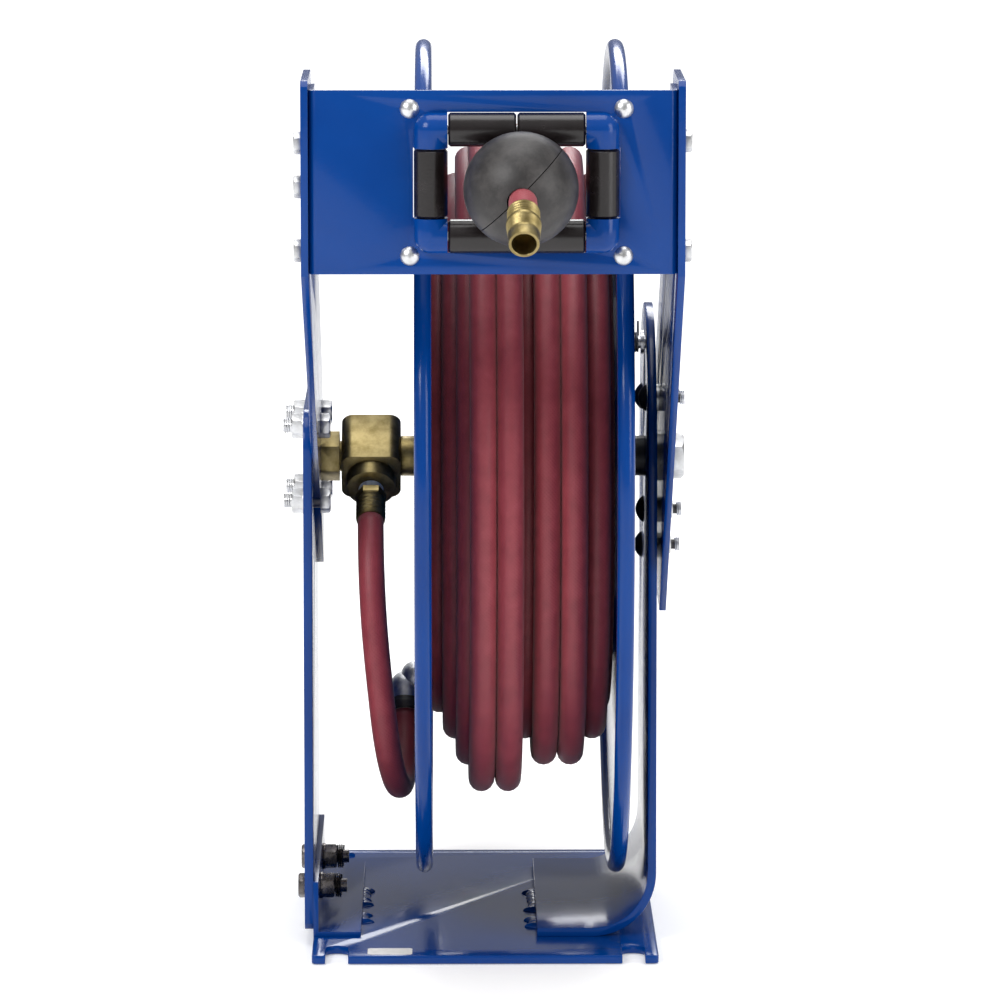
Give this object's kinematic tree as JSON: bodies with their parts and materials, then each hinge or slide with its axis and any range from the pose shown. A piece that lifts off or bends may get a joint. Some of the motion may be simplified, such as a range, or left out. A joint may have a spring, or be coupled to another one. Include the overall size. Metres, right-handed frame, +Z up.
{
  "type": "spring rewind hose reel",
  "caption": "Spring-rewind hose reel: wound hose on a drum between two pedestals, with a swivel inlet, a pawl and ratchet, and a roller guide with ball stop and hose end.",
  "frame": {"origin": "middle of the base plate's underside, on the floor", "axes": "+X across the reel to the spring side, -Y to the side the hose leaves, +Z up; the drum turns about an axis along X"},
  "size_m": [0.239, 0.6799, 0.529],
  "materials": {
    "blue_enamel": "gloss",
    "zinc": "bright zinc",
    "spring_steel": "oiled",
    "black_steel": "satin black",
    "black_plastic": "gloss",
    "black_rubber": "matt",
    "white_tape": "matt",
    "brass": "machined",
    "hose_rubber": "satin, fine cloth texture"
  },
  "bodies": {
    "frame": {"base_plate": "blue_enamel", "base_angle": "blue_enamel", "left_pedestal": "blue_enamel", "right_pedestal": "blue_enamel", "weld_beads": "blue_enamel", "base_bolts": "zinc", "base_nuts": "zinc", "left_guide_arm": "blue_enamel", "right_guide_arm": "blue_enamel", "guide_bracket": "blue_enamel", "guide_bolts": "zinc", "guide_nuts": "zinc", "guide_rivets": "zinc", "roller_pins": "zinc", "axle_shaft": "black_steel", "axle_bolt": "zinc", "axle_washer": "zinc", "arm_bolts": "black_steel", "arm_nuts": "zinc", "arm_spacers": "zinc", "swivel_stem": "brass", "swivel_o_rings": "black_rubber", "swivel_bolts": "zinc", "swivel_nuts": "zinc", "pawl_pivot_pin": "zinc", "pawl_spring": "spring_steel", "spring_arbor": "spring_steel", "outer_turns": "hose_rubber", "delivery_hose": "hose_rubber", "ball_stop_upper": "black_rubber", "ball_stop_lower": "black_rubber", "ball_screws": "zinc", "outlet_ferrule": "brass", "outlet_fitting": "brass"},
    "drum": {"left_disc": "blue_enamel", "right_disc": "blue_enamel", "drum_core": "blue_enamel", "left_hub": "blue_enamel", "right_hub": "blue_enamel", "hub_bushes": "brass", "spring_can": "blue_enamel", "spring_can_lid": "blue_enamel", "power_spring": "spring_steel", "ratchet_wheel": "black_steel", "disc_bolts": "zinc", "swivel_body": "brass", "swivel_collar": "brass", "thread_tape": "white_tape", "riser_ferrule": "brass", "riser_hose": "hose_rubber", "riser_clamp": "black_steel", "drum_elbow": "zinc", "wound_hose": "hose_rubber"},
    "pawl": {"pawl": "blue_enamel"},
    "top_left_roller": {"top_left_roller": "black_plastic"},
    "top_right_roller": {"top_right_roller": "black_plastic"},
    "bottom_left_roller": {"bottom_left_roller": "black_plastic"},
    "bottom_right_roller": {"bottom_right_roller": "black_plastic"},
    "left_roller": {"left_roller": "black_plastic"},
    "right_roller": {"right_roller": "black_plastic"}
  },
  "joints": [
    {"name": "drum_spin", "type": "hinge", "parent": "frame", "child": "drum", "pos_m": [0, 0, 0.277], "axis": [1, 0, 0], "continuous": true},
    {"name": "pawl_pivot", "type": "hinge", "parent": "frame", "child": "pawl", "pos_m": [0.0825, -0.0195, 0.348], "axis": [1, 0, 0], "range_deg": [0, 18], "stiffness_Nm_per_rad": 0.05},
    {"name": "top_left_roller_spin", "type": "hinge", "parent": "frame", "child": "top_left_roller", "pos_m": [0.016, -0.333, 0.503], "axis": [1, 0, 0], "continuous": true},
    {"name": "top_right_roller_spin", "type": "hinge", "parent": "frame", "child": "top_right_roller", "pos_m": [0.016, -0.333, 0.503], "axis": [1, 0, 0], "continuous": true},
    {"name": "bottom_left_roller_spin", "type": "hinge", "parent": "frame", "child": "bottom_left_roller", "pos_m": [0.016, -0.333, 0.445], "axis": [1, 0, 0], "continuous": true},
    {"name": "bottom_right_roller_spin", "type": "hinge", "parent": "frame", "child": "bottom_right_roller", "pos_m": [0.016, -0.333, 0.445], "axis": [1, 0, 0], "continuous": true},
    {"name": "left_roller_spin", "type": "hinge", "parent": "frame", "child": "left_roller", "pos_m": [-0.0305, -0.333, 0.474], "axis": [0, 0, 1], "continuous": true},
    {"name": "right_roller_spin", "type": "hinge", "parent": "frame", "child": "right_roller", "pos_m": [0.0625, -0.333, 0.474], "axis": [0, 0, 1], "continuous": true}
  ]
}
